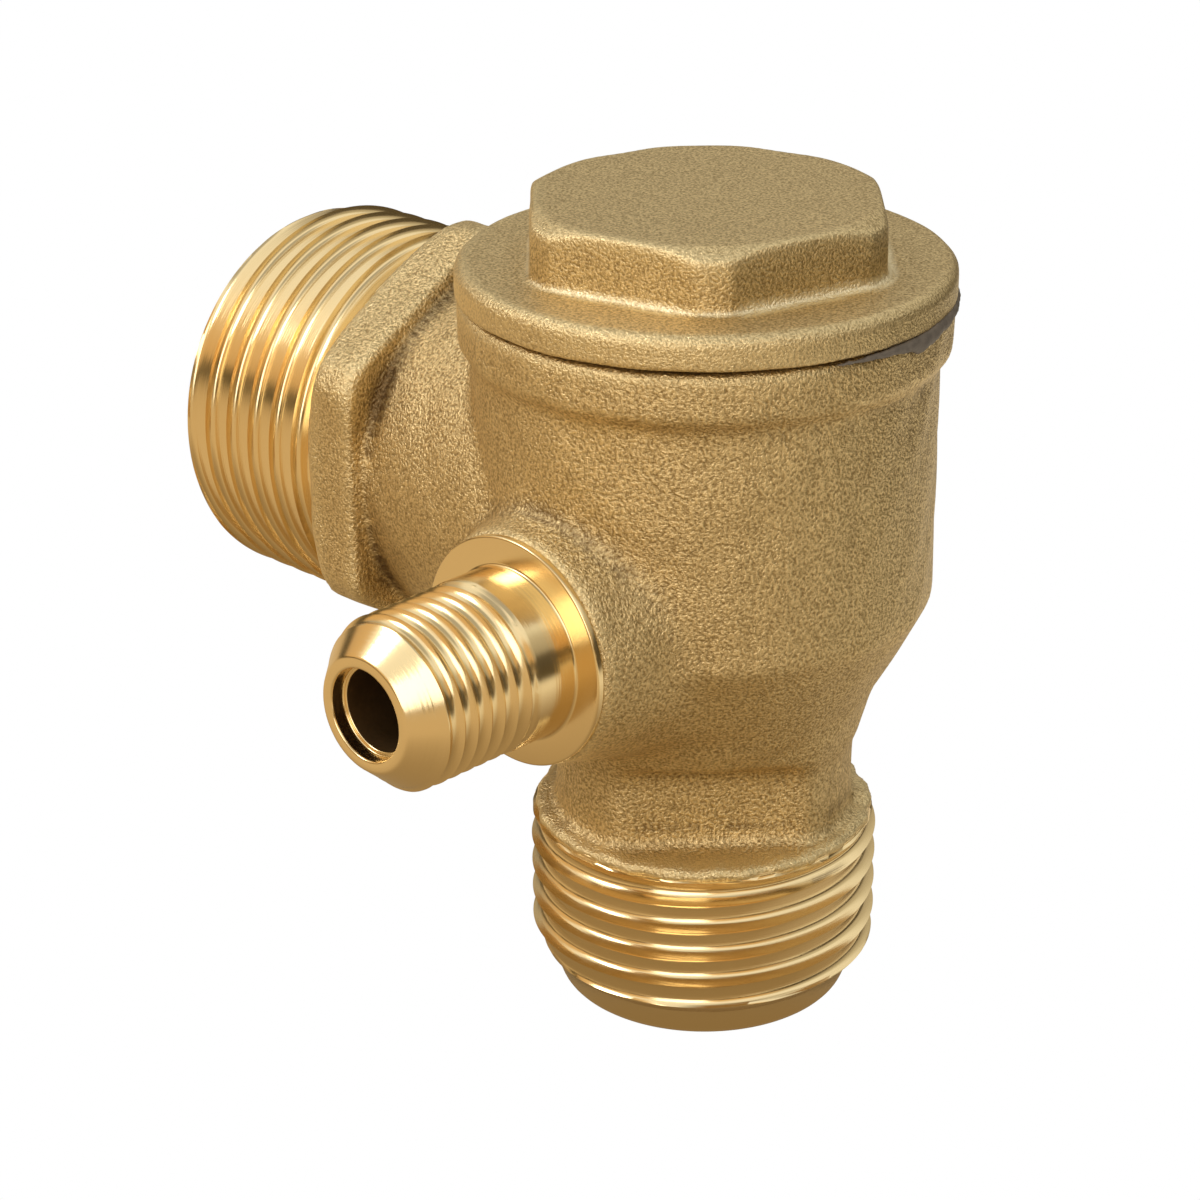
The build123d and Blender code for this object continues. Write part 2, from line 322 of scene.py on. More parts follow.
def mottledFinish(name, colour, metallic, roughness, scale):
    # A plain finish whose colour, gloss and surface vary a little
    look = mottledLook
    finish, tree, shader = newFinish(name, colour, metallic, roughness)
    blotch = addNoise(tree, scale)
    dark = tuple(look["darkest"] * share for share in colour)
    tree.links.new(addRamp(tree, blotch, [(0.35, dark), (0.65, colour)]), shader.inputs["Base Color"])
    swing = look["roughnessSwing"]
    rough = addNode(tree, "ShaderNodeMapRange", To_Min=roughness + swing, To_Max=roughness - swing)
    tree.links.new(blotch, rough.inputs["Value"])
    tree.links.new(rough.outputs["Result"], shader.inputs["Roughness"])
    tree.links.new(addBump(tree, blotch, 0.5, look["height"]), shader.inputs["Normal"])
    return finish


castBrass = castFinish("castBrass", castLook)
# On the cap the corner colour is pale: a painted highlight in the creases such as the hexagon's foot, and its
# edges are painted pale as on castBrass
capBrass = castFinish("capBrass", {
    **castLook, "grainScale": 6400.0, "grainHeight": 0.00012, "corner": (0.95, 0.84, 0.58),
    "cornerStart": 0.66, "cornerEnd": 0.72,
})
machinedBrass = machinedFinish("machinedBrass", machinedLook)
# Painted shade: a dark brown brass for bores, the chamber and other hollows, where little light reaches
paintedShadeBrass = mottledFinish("paintedShadeBrass", (0.2, 0.12, 0.05), 1.0, 0.55, 900.0)
sealantGrey = mottledFinish("sealantGrey", (0.16, 0.125, 0.088), 0.0, 0.6, 1600.0)
sealRubber = mottledFinish("sealRubber", (0.012, 0.012, 0.012), 0.0, 0.5, 3000.0)
turnedBrass = mottledFinish("turnedBrass", (0.8, 0.6, 0.28), 1.0, 0.25, 1200.0)
screwSteel = mottledFinish("screwSteel", (0.62, 0.61, 0.58), 1.0, 0.3, 2000.0)
springSteel = mottledFinish("springSteel", (0.6, 0.6, 0.6), 1.0, 0.25, 2000.0)
print("finishes ready")


# The one-piece casting

def castingField(x, y, z):
    c, t, u = casting, tankArm, unloaderBoss
    radius = np.sqrt(x * x + y * y)
    barrelRadius, collarRadius = c["barrelDiameter"] / 2, c["collarDiameter"] / 2
    collarFoot = c["height"] - c["collarHeight"]
    barrel = turnedDistance(radius, z, [
        (pastAxis, c["neckTop"]), (c["neckDiameter"] / 2, c["neckTop"]), (barrelRadius, c["barrelFoot"]),
        (barrelRadius, collarFoot - c["collarTaper"]), (collarRadius, collarFoot),
        (collarRadius, c["height"]), (pastAxis, c["height"]),
    ])
    neck = rodDistance(radius, z, c["neckDiameter"] / 2, c["neckFoot"], c["neckTop"] + 1)
    angle = math.radians(c["neckFlatAngle"])
    flats = np.abs(x * math.cos(angle) + y * math.sin(angle)) - c["neckFlats"] / 2
    solid = blendedUnion(barrel, blendedOverlap(neck, flats, 0.3), c["neckBlend"])
    around = np.arctan2(y, x)
    ragged = c["landRagged"] * (np.sin(17 * around + 3 * z) + np.sin(29 * around - 2 * z + 1))
    land = rodDistance(radius, z, c["landDiameter"] / 2, c["landFoot"], c["landTop"]) + ragged
    solid = blendedUnion(solid, land, c["landBlend"])
    up = z - t["height"]
    out = np.sqrt(y * y + up * up)
    arm = turnedDistance(out, -x, [
        (pastAxis, 0), (t["wide"] / 2, 0), (t["wide"] / 2, t["taperStart"]),
        (t["narrow"] / 2, t["hexagonInner"]),
        (t["narrow"] / 2, t["hexagonInner"] + 1), (pastAxis, t["hexagonInner"] + 1),
    ])
    corner, outer = t["corners"] / 2, t["hexagonOuter"]
    ends = turnedDistance(out, -x, [
        (pastAxis, t["hexagonInner"]), (corner, t["hexagonInner"]), (corner, outer - t["chamfer"]),
        (corner - t["chamfer"] / chamferSlope, outer), (pastAxis, outer),
    ])
    hexagon = blendedOverlap(hexagonDistance(y, up, t["flats"], 0.12), ends, 0.12)
    solid = blendedUnion(solid, blendedUnion(arm, hexagon, 0.25), c["armBlend"])
    aside = np.sqrt(x * x + (z - u["height"]) ** 2)
    root = u["diameter"] / 2 + (u["face"] - u["start"]) * math.tan(math.radians(u["taper"]))
    boss = turnedDistance(aside, -y, [
        (pastAxis, u["start"]), (root, u["start"]), (u["diameter"] / 2, u["face"]), (pastAxis, u["face"]),
    ])
    solid = blendedUnion(solid, boss, c["bossBlend"])
    chamberRadius, tubeRadius = c["chamberDiameter"] / 2, c["tubeDiameter"] / 2
    threadRadius, lipRadius = c["capThread"] / 2, c["lipDiameter"] / 2
    spigotEnd = c["height"] - c["capThreadLength"]
    chamber = turnedDistance(radius, z, [
        (pastAxis, c["chamberFloor"]), (tubeRadius, c["chamberFloor"]), (chamberRadius, c["chamberFoot"]),
        (chamberRadius, spigotEnd), (threadRadius, spigotEnd), (threadRadius, c["height"] + 2),
        (pastAxis, c["height"] + 2),
    ])
    tube = turnedDistance(radius, z, [
        (pastAxis, c["chamberFloor"] - 1), (tubeRadius, c["chamberFloor"] - 1),
        (tubeRadius, c["seatHeight"] - c["lipHeight"]), (lipRadius, c["seatHeight"] - c["lipHeight"]),
        (lipRadius, c["seatHeight"]), (pastAxis, c["seatHeight"]),
    ])
    bridgeTop = u["height"] + c["bridgeWidth"] / 2
    bridge = np.maximum(np.maximum(np.abs(x) - c["bridgeWidth"] / 2, z - bridgeTop), np.maximum(y, -12.4 - y))
    bridge = np.maximum(bridge, c["chamberFloor"] - z)
    hollow = np.maximum(chamber, -np.minimum(tube, bridge))
    passages = np.minimum(
        rodDistance(out, -x, t["passage"] / 2, tubeRadius, t["boreStart"] + 1),
        rodDistance(out, -x, t["bore"] / 2, t["boreStart"], t["hexagonOuter"] + 2),
    )
    passages = np.minimum(passages, rodDistance(radius, z, c["inletBore"] / 2, 0, c["seatHeight"] + 1))
    passages = np.minimum(passages, rodDistance(aside, -y, u["bore"] / 2, 0, u["face"] + 2))
    hollow = np.minimum(hollow, passages)
    # Slow waves over the skin, as a cast surface has
    ripple = np.sin(1.9 * x + 0.7 * z) * np.sin(1.6 * y - 0.9 * z + 0.8)
    ripple = ripple + np.sin(0.8 * x - 1.3 * y + 1.1 * z + 2.0)
    solid = soften(solid, 1) + c["ripple"] * ripple
    return np.maximum(solid, -hollow), hollow, solid


def makeCasting():
    c = casting
    low = (-tankArm["hexagonOuter"] - 1, -unloaderBoss["face"] - 1, c["neckFoot"] - 1)
    high = (c["collarDiameter"] / 2 + 1, c["collarDiameter"] / 2 + 1, c["height"] + 1)
    field, hollow, outside = castingField(*fieldGrid(low, high, c["spacing"]))
    return meshFromField("valveCasting", field, low, c["spacing"], [castBrass, paintedShadeBrass], hollow, outside)


# Node trees for what repeats

def newTree(name, sizes, counts):
    # A tree with a named input for each size and count, and one for the finish
    tree = bpy.data.node_groups.new(name, "GeometryNodeTree")
    face = tree.interface
    face.new_socket("Geometry", in_out="INPUT", socket_type="NodeSocketGeometry")
    for label in sizes:
        face.new_socket(label, in_out="INPUT", socket_type="NodeSocketFloat")
    for label in counts:
        face.new_socket(label, in_out="INPUT", socket_type="NodeSocketInt")
    face.new_socket("Finish", in_out="INPUT", socket_type="NodeSocketMaterial")
    face.new_socket("Geometry", in_out="OUTPUT", socket_type="NodeSocketGeometry")
    return tree, tree.nodes.new("NodeGroupInput").outputs


def endTree(tree, shape, finish):
    # Every tree ends in real geometry that has its finish
    smooth = tree.nodes.new("GeometryNodeSetShadeSmooth")
    real = tree.nodes.new("GeometryNodeRealizeInstances")
    painted = tree.nodes.new("GeometryNodeSetMaterial")
    tree.links.new(shape, smooth.inputs["Geometry"])
    tree.links.new(smooth.outputs[0], real.inputs["Geometry"])
    tree.links.new(real.outputs[0], painted.inputs["Geometry"])
    tree.links.new(finish, painted.inputs["Material"])
    tree.links.new(painted.outputs[0], tree.nodes.new("NodeGroupOutput").inputs[0])
    return tree


def meshFromTree(name, base, tree, values):
    # The tree's result as a plain mesh with its faces pointing outwards
    blank = bpy.data.objects.new(name + "Blank", base)
    bpy.context.scene.collection.objects.link(blank)
    modifier = blank.modifiers.new("shape", "NODES")
    modifier.node_group = tree
    sockets = {item.name: item.identifier for item in tree.interface.items_tree if item.in_out == "INPUT"}
    for label, value in values.items():
        modifier[sockets[label]] = value
    mesh = bpy.data.meshes.new_from_object(blank.evaluated_get(bpy.context.evaluated_depsgraph_get()))
    bpy.data.objects.remove(blank)
    mesh.name = name
    whole = bmesh.new()
    whole.from_mesh(mesh)
    bmesh.ops.dissolve_degenerate(whole, dist=1e-7, edges=whole.edges)
    bmesh.ops.recalc_face_normals(whole, faces=whole.faces)
    whole.to_mesh(mesh)
    whole.free()
    return mesh


# Threads of the three ports, made by one node tree

def threadTree():
    # A sheared grid follows the helix, so that a row of points runs along every crest
    sizes = ("Crest Radius", "Depth", "Pitch", "Start", "End", "Start Radius", "End Radius", "Run Out",
             "Sharpness", "First Crest", "Crowding")
    tree, given = newTree("threadTurns", sizes, ("Columns", "Rows", "Rows Per Turn"))
    link = tree.links.new

    def calculate(operation, *values, clamp=False):
        node = tree.nodes.new("ShaderNodeMath")
        node.operation = operation
        node.use_clamp = clamp
        for socket, value in zip(node.inputs, values):
            if isinstance(value, (int, float)):
                socket.default_value = value
            else:
                link(value, socket)
        return node.outputs[0]

    grid = tree.nodes.new("GeometryNodeMeshGrid")
    grid.inputs["Size X"].default_value = 1
    grid.inputs["Size Y"].default_value = 1
    link(calculate("ADD", given["Columns"], 1), grid.inputs["Vertices X"])
    link(calculate("ADD", given["Rows"], 1), grid.inputs["Vertices Y"])
    place = tree.nodes.new("ShaderNodeSeparateXYZ")
    link(tree.nodes.new("GeometryNodeInputPosition").outputs[0], place.inputs[0])
    turn = calculate("ADD", place.outputs["X"], 0.5)
    row = calculate("ROUND", calculate("MULTIPLY", calculate("ADD", place.outputs["Y"], 0.5), given["Rows"]))
    # Rows crowd together at the crests, which lie at whole turns
    even = calculate("SUBTRACT", calculate("DIVIDE", row, given["Rows Per Turn"]), 1)
    wave = calculate("SINE", calculate("MULTIPLY", even, 2 * math.pi))
    turns = calculate("SUBTRACT", even, calculate("MULTIPLY", wave, given["Crowding"]))
    # The extra turns of rows are folded onto the two ends
    whole = calculate("ADD", calculate("ADD", turns, turn), calculate("SUBTRACT", given["First Crest"], 1))
    rise = calculate("MULTIPLY", whole, given["Pitch"])
    low = calculate("MAXIMUM", calculate("ADD", rise, given["Start"]), given["Start"])
    height = calculate("MINIMUM", low, given["End"])
    offMiddle = calculate("SUBTRACT", calculate("FRACT", turns), 0.5)
    nearCrest = calculate("MULTIPLY", calculate("ABSOLUTE", offMiddle), 2)
    groove = calculate("SUBTRACT", 1, calculate("POWER", nearCrest, given["Sharpness"]))
    left = calculate("SUBTRACT", given["End"], height)
    runOut = calculate("DIVIDE", left, given["Run Out"], clamp=True)
    fade = calculate("POWER", runOut, 0.6)
    cutDepth = calculate("MULTIPLY", calculate("MULTIPLY", groove, given["Depth"]), fade)
    thread = calculate("SUBTRACT", given["Crest Radius"], cutDepth)
    lead = calculate("ADD", given["Start Radius"], calculate("SUBTRACT", height, given["Start"]))
    tail = calculate("ADD", given["End Radius"], calculate("MULTIPLY", left, 2))
    radius = calculate("MINIMUM", calculate("MINIMUM", thread, lead), tail)
    angle = calculate("MULTIPLY", turn, 2 * math.pi)
    point = tree.nodes.new("ShaderNodeCombineXYZ")
    link(calculate("MULTIPLY", radius, calculate("COSINE", angle)), point.inputs["X"])
    link(calculate("MULTIPLY", radius, calculate("SINE", angle)), point.inputs["Y"])
    link(height, point.inputs["Z"])
    setPlace = tree.nodes.new("GeometryNodeSetPosition")
    link(grid.outputs["Mesh"], setPlace.inputs["Geometry"])
    link(point.outputs[0], setPlace.inputs["Position"])
    joined = tree.nodes.new("GeometryNodeJoinGeometry")
    link(given["Geometry"], joined.inputs[0])
    link(setPlace.outputs[0], joined.inputs[0])
    merged = tree.nodes.new("GeometryNodeMergeByDistance")
    merged.inputs["Distance"].default_value = 0.000002
    link(joined.outputs[0], merged.inputs["Geometry"])
    return endTree(tree, merged.outputs[0], given["Finish"])


def roundedOutline(outline, size):
    # Corners of an open outline become short arcs of four points
    points = [outline[0]]
    for before, corner, after in zip(outline, outline[1:], outline[2:]):
        here = Vector(corner)
        toBefore, toAfter = Vector(before) - here, Vector(after) - here
        cut = min(size, toBefore.length * 0.45, toAfter.length * 0.45)
        first, last = here + toBefore.normalized() * cut, here + toAfter.normalized() * cut
        for share in (0, 1 / 3, 2 / 3, 1):
            points.append(tuple(first.lerp(here, share).lerp(here.lerp(last, share), share)))
    return points + [outline[-1]]


def turnedSheet(name, outline, columns):
    # An open outline of (radius, height) points turned once round +Z
    turns = np.arange(columns) * 2 * math.pi / columns
    outline = np.array(outline)
    x = outline[:, None, 0] * np.cos(turns)
    y = outline[:, None, 0] * np.sin(turns)
    z = np.broadcast_to(outline[:, None, 1], x.shape)
    points = np.stack([x, y, z], -1).reshape(-1, 3) * mm
    faces = []
    for row in range(len(outline) - 1):
        for column in range(columns):
            other = (column + 1) % columns
            faces.append((row * columns + column, row * columns + other,
                          (row + 1) * columns + other, (row + 1) * columns + column))
    mesh = bpy.data.meshes.new(name)
    mesh.from_pydata(points, [], faces)
    return mesh


def makePort(name, port, outline, matrix):
    # The outline runs from the thread's end through the bore to the thread's start
    sheet = turnedSheet(name + "Blank", roundedOutline(outline, port["edge"]), port["columns"])
    perTurn = port["rowsPerTurn"]
    rows = perTurn * (math.ceil((port["end"] - port["start"]) / port["pitch"]) + 3)
    values = {
        "Crest Radius": port["crest"] * mm, "Depth": port["depth"] * mm, "Pitch": port["pitch"] * mm,
        "Start": port["start"] * mm, "End": port["end"] * mm, "Start Radius": port["startRadius"] * mm,
        "End Radius": port["endRadius"] * mm, "Run Out": port["runOut"] * mm, "Sharpness": port["sharpness"],
        "First Crest": port["firstCrest"], "Crowding": rowCrowding, "Columns": port["columns"],
        "Rows": rows, "Rows Per Turn": perTurn, "Finish": machinedBrass,
    }
    mesh = meshFromTree(name, sheet, threads, values)
    if not mesh.attributes.get("along"):
        mesh.attributes.new("along", "FLOAT", "POINT")
    heights = np.empty(len(mesh.vertices) * 3)
    mesh.vertices.foreach_get("co", heights)
    mesh.attributes["along"].data.foreach_set("value", heights[2::3].astype(np.float32))
    centres = np.empty(len(mesh.polygons) * 3)
    mesh.polygons.foreach_get("center", centres)
    centres = centres.reshape(-1, 3) / mm
    # Faces deep inside the bore, past litDepth, take the painted shade brass
    inside = (np.hypot(centres[:, 0], centres[:, 1]) < port["inside"]) & (centres[:, 2] > port["litDepth"])
    mesh.materials.clear()
    mesh.materials.append(machinedBrass)
    mesh.materials.append(paintedShadeBrass)
    mesh.polygons.foreach_set("material_index", inside.astype(np.int32))
    mesh.set_sharp_from_angle(angle=math.radians(50))
    mesh.transform(matrix)
    return addPiece(name, mesh)


inletPort = {
    "crest": 10.478, "depth": 0.75, "pitch": 1.814, "start": 2.0, "end": 11.3, "startRadius": 9.35,
    "endRadius": 10.1, "runOut": 0.8, "sharpness": 4.0, "firstCrest": 0.456, "columns": 240,
    "rowsPerTurn": 20, "edge": 0.25, "noseEnd": 8.75, "noseRound": 0.4, "landTop": 11.5, "bore": 5.0,
    "socket": 6.0, "socketDepth": 9.0, "inside": 6.2, "litDepth": 0.6,
}
tankPort = {
    "crest": 12.0, "depth": 0.5, "pitch": 2.0, "start": 0.0, "end": 12.2, "startRadius": 11.3,
    "endRadius": 11.3, "runOut": 1.2, "sharpness": 10.0, "firstCrest": 0.5, "columns": 264,
    "rowsPerTurn": 20, "edge": 0.2, "length": 12.25, "bore": 8.5, "reach": 33.5, "inside": 9.0,
    "litDepth": 3.0,
}
unloaderPort = {
    "crest": 5.0, "depth": 0.4, "pitch": 1.0, "start": 1.3, "end": 8.2, "startRadius": 4.4,
    "endRadius": 4.98, "runOut": 1.0, "sharpness": 2.6, "firstCrest": 0.4, "columns": 192,
    "rowsPerTurn": 14, "edge": 0.15, "tip": 3.3, "shank": 5.05, "face": 11.1, "faceRadius": 6.75,
    "foot": 11.6, "fillet": 0.15, "bore": 1.6, "lip": 2.65, "lipDepth": 0.9, "mouth": 2.4,
    "mouthDepth": 6.5, "reach": 27.1, "inside": 2.7, "litDepth": 0.95,
}


def makeInletPort():
    p = inletPort
    outline = [
        (p["endRadius"], p["end"]), (p["endRadius"], p["landTop"]), (p["bore"], p["landTop"]),
        (p["bore"], p["socketDepth"]), (p["socket"], p["socketDepth"]), (p["socket"], 0),
        (p["noseEnd"] - p["noseRound"], 0), (p["noseEnd"], p["noseRound"]), (p["startRadius"], p["start"]),
    ]
    return makePort("inletPort", p, outline, Matrix.Identity(4))


def makeTankPort():
    p = tankPort
    outline = [
        (p["endRadius"], p["end"]), (p["endRadius"], p["length"]), (p["bore"], p["length"]), (p["bore"], 0),
        (p["startRadius"], 0),
    ]
    turn = Matrix.Rotation(math.radians(90), 4, "Y")
    place = Matrix.Translation((-p["reach"] * mm, 0, tankArm["height"] * mm))
    return makePort("tankPort", p, outline, place @ turn)


def makeUnloaderPort():
    p = unloaderPort
    step = p["mouth"] - p["bore"]
    fillet = p["fillet"]
    outline = [
        (p["endRadius"], p["end"]), (p["shank"], p["end"] + 0.2), (p["shank"], p["face"] - fillet),
        (p["shank"] + fillet * 0.3, p["face"] - fillet * 0.3), (p["shank"] + fillet, p["face"]),
        (p["faceRadius"], p["face"]), (p["faceRadius"], p["foot"]), (p["bore"], p["foot"]),
        (p["bore"], p["mouthDepth"] + step), (p["mouth"], p["mouthDepth"]), (p["mouth"], p["lipDepth"]),
        (p["lip"], p["lipDepth"]), (p["lip"], 0), (p["tip"], 0), (p["startRadius"], p["start"]),
    ]
    turn = Matrix.Rotation(math.radians(-90), 4, "X")
    place = Matrix.Translation((0, -p["reach"] * mm, unloaderBoss["height"] * mm))
    return makePort("unloaderPort", p, outline, place @ turn)


# The hexagon cap

cap = {
    "flangeDiameter": 28.6, "foot": 43.85, "flangeTop": 46.05, "round": 0.45, "flats": 19.8, "corners": 21.8,
    "hexagonTop": 49.65, "chamfer": 0.6, "turn": 44.2, "gap": 0.16, "gapDiameter": 26.0,
    "spigotDiameter": 23.84, "spigotEnd": 39.25,
    "guideBore": 5.12, "guideTop": 47.2, "springSeat": 10.7, "guideTube": 7.12, "springSeatTop": 44.25,
    "spacing": 0.19, "rootBlend": 0.4,
}


def makeCap():
    c = cap
    low = (-c["flangeDiameter"] / 2 - 0.6, -c["flangeDiameter"] / 2 - 0.6, c["spigotEnd"] - 0.6)
    high = (c["flangeDiameter"] / 2 + 0.6, c["flangeDiameter"] / 2 + 0.6, c["hexagonTop"] + 0.6)
    x, y, z = fieldGrid(low, high, c["spacing"])
    radius = np.sqrt(x * x + y * y)
    flange, edge = c["flangeDiameter"] / 2, c["round"]
    under, inner = c["foot"] + c["gap"], c["gapDiameter"] / 2
    plate = turnedDistance(radius, z, [
        (pastAxis, c["foot"]), (inner, c["foot"]), (inner, under), (flange, under),
        (flange, c["flangeTop"] - edge), (flange - edge, c["flangeTop"]), (pastAxis, c["flangeTop"]),
    ])
    angle = math.radians(c["turn"])
    across, aside = x * math.cos(angle) + y * math.sin(angle), y * math.cos(angle) - x * math.sin(angle)
    corner = c["corners"] / 2
    ends = turnedDistance(radius, z, [
        (pastAxis, c["foot"]), (corner, c["foot"]), (corner, c["hexagonTop"] - c["chamfer"]),
        (corner - c["chamfer"] / chamferSlope, c["hexagonTop"]), (pastAxis, c["hexagonTop"]),
    ])
    head = blendedOverlap(hexagonDistance(across, aside, c["flats"], 0.08), ends, 0.08)
    solid = soften(blendedUnion(plate, head, c["rootBlend"]), 1)
    solid = solid + 0.02 * np.sin(0.9 * x + 0.4) * np.sin(1.1 * y + 1.3)
    spigot = rodDistance(radius, z, c["spigotDiameter"] / 2, c["spigotEnd"], c["foot"] + 1)
    solid = np.minimum(solid, spigot)
    guide = rodDistance(radius, z, c["guideBore"] / 2, c["spigotEnd"] - 2, c["guideTop"])
    springSeat = rodDistance(radius, z, c["springSeat"] / 2, c["spigotEnd"] - 2, c["springSeatTop"])
    springSeat = np.maximum(springSeat, c["guideTube"] / 2 - radius)
    hollow = np.minimum(guide, springSeat)
    field = np.maximum(solid, -hollow)
    # The hollows, and the spigot that sits inside the casting, take the painted shade brass
    turnedWalls = np.minimum(np.abs(hollow), np.abs(spigot))
    return meshFromField("hexagonCap", field, low, c["spacing"], [capBrass, paintedShadeBrass], turnedWalls, solid)


# Sealant squeezed out of the cap joint

sealant = {
    "radius": 14.25, "height": 43.9, "from": -28.0, "to": 50.0, "thin": 0.16, "thick": 0.42,
    "swellAt": 16.0, "swellWidth": 22.0, "depth": 0.3, "nubAngle": 8.0, "nubWidth": 5.0, "nubDrop": 0.35,
    "lift": 0.45, "spacing": 0.12, "unevenness": 0.07,
}


def makeSealant():
    # A smear along the joint that swells, drops to a nub and climbs the flange's edge
    s = sealant
    low, high = (8.6, -8.6, 42.2), (15.6, 12.6, 45.6)
    x, y, z = fieldGrid(low, high, s["spacing"])
    radius = np.sqrt(x * x + y * y)
    angle = np.degrees(np.arctan2(y, x))
    share = np.clip((angle - s["from"]) / (s["to"] - s["from"]), 0, 1)
    ends = np.abs(np.sin(math.pi * share)) ** 0.4
    swell = np.exp(-((angle - s["swellAt"]) / s["swellWidth"]) ** 2)
    nub = np.exp(-((angle - s["nubAngle"]) / s["nubWidth"]) ** 2)
    wobble = np.sin(0.9 * angle + 1.7) + 0.6 * np.sin(2.3 * angle)
    tall = (s["thin"] + (s["thick"] - s["thin"]) * swell + 0.5 * s["nubDrop"] * nub) * ends
    middle = s["height"] - 0.5 * s["nubDrop"] * nub + s["lift"] * share ** 3 - 0.3 * tall
    tall = np.maximum(tall * (1 + s["unevenness"] * wobble), 0.02)
    thick = np.maximum(s["depth"] * ends * (0.6 + 0.4 * swell), 0.02)
    off = np.sqrt(((radius - s["radius"]) / thick) ** 2 + ((z - middle) / tall) ** 2)
    field = (off - 1) * np.minimum(thick, tall)
    grit = s["unevenness"] * np.sin(7.0 * y + 2 * z) * np.sin(6.0 * z + 3 * y)
    field = np.where((share <= 0) | (share >= 1), 0.5, field + 0.5 * grit).astype(np.float32)
    return meshFromField("sealantSmear", soften(field, 1), low, s["spacing"], [sealantGrey])


# The closing spring, which on the real valve shortens as the piston lifts

spring = {"turns": 4.0, "wire": 0.6, "pointsPerTurn": 32, "sides": 12, "clearance": 0.02}


def springTree():
    # A round wire swept along a spiral
    sizes = ("Turns", "Radius", "Height", "Foot", "Wire Radius")
    tree, given = newTree("springTurns", sizes, ("Points Per Turn", "Sides"))
    link = tree.links.new
    spiral = tree.nodes.new("GeometryNodeCurveSpiral")
    link(given["Points Per Turn"], spiral.inputs["Resolution"])
    link(given["Turns"], spiral.inputs["Rotations"])
    link(given["Radius"], spiral.inputs["Start Radius"])
    link(given["Radius"], spiral.inputs["End Radius"])
    link(given["Height"], spiral.inputs["Height"])
    section = tree.nodes.new("GeometryNodeCurvePrimitiveCircle")
    link(given["Sides"], section.inputs["Resolution"])
    link(given["Wire Radius"], section.inputs["Radius"])
    wire = tree.nodes.new("GeometryNodeCurveToMesh")
    wire.inputs["Fill Caps"].default_value = True
    link(spiral.outputs[0], wire.inputs["Curve"])
    link(section.outputs[0], wire.inputs["Profile Curve"])
    foot = tree.nodes.new("ShaderNodeCombineXYZ")
    link(given["Foot"], foot.inputs["Z"])
    placed = tree.nodes.new("GeometryNodeTransform")
    link(wire.outputs[0], placed.inputs["Geometry"])
    link(foot.outputs[0], placed.inputs["Translation"])
    return endTree(tree, placed.outputs[0], given["Finish"])


def makeSpring():
    s = spring
    low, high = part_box("return_spring")
    wireRadius, clearance = s["wire"] / 2 * mm, s["clearance"] * mm
    mesh = meshFromTree("returnSpring", bpy.data.meshes.new("springBase"), springTree(), {
        "Turns": s["turns"], "Radius": (high[0] - low[0]) / 2 - wireRadius, "Wire Radius": wireRadius,
        "Height": high[2] - low[2] - 2 * (wireRadius + clearance), "Foot": low[2] + wireRadius + clearance,
        "Points Per Turn": s["pointsPerTurn"], "Sides": s["sides"], "Finish": springSteel,
    })
    return addPiece("returnSpring", mesh)


threads = threadTree()
bodyPieces = [makeCasting(), makeInletPort(), makeTankPort(), makeUnloaderPort()]
capPiece = makeCap()
sealantPiece = makeSealant()
for piece in bodyPieces:
    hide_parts("valve_body")
    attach(piece, "housing")
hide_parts("hex_cap")
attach(capPiece, "housing")
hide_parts("thread_sealant")
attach(sealantPiece, "housing")
springPiece = makeSpring()
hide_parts("return_spring")
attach(springPiece, "housing")
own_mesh(springPiece)
innerFinishes = {
    "valve_piston": turnedBrass, "seal_disc": sealRubber, "seal_washer": turnedBrass,
    "seal_screw": screwSteel,
}
for node, finish in innerFinishes.items():
    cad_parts[node].data.materials.clear()
    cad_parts[node].data.materials.append(finish)
print("pieces in place")


# Camera at the photograph's angle, for a square picture

camera = {
    "azimuth": 44.11, "elevation": 23.87, "roll": -0.53, "distance": 188.9, "lens": 96.7, "aside": -6.177,
    "rise": -4.812, "aimHeight": 30.0,
}


def makeCamera():
    c = camera
    a, e, roll = (math.radians(c[k]) for k in ("azimuth", "elevation", "roll"))
    back = Vector((math.sin(a) * math.cos(e), -math.cos(a) * math.cos(e), math.sin(e)))
    right = Vector((math.cos(a), math.sin(a), 0))
    up = back.cross(right)
    place = Vector((0, 0, c["aimHeight"])) + right * c["aside"] + up * c["rise"] + back * c["distance"]
    right, up = right * math.cos(roll) + up * math.sin(roll), up * math.cos(roll) - right * math.sin(roll)
    data = bpy.data.cameras.new("photoCamera")
    data.lens = c["lens"]
    data.sensor_width = 36
    data.clip_start, data.clip_end = 0.01, 20
    eye = bpy.data.objects.new("photoCamera", data)
    turn = Matrix((right, up, back)).transposed().to_4x4()
    eye.matrix_world = Matrix.Translation(place * mm) @ turn
    bpy.context.scene.collection.objects.link(eye)
    bpy.context.scene.camera = eye


# Floor, world and lamps

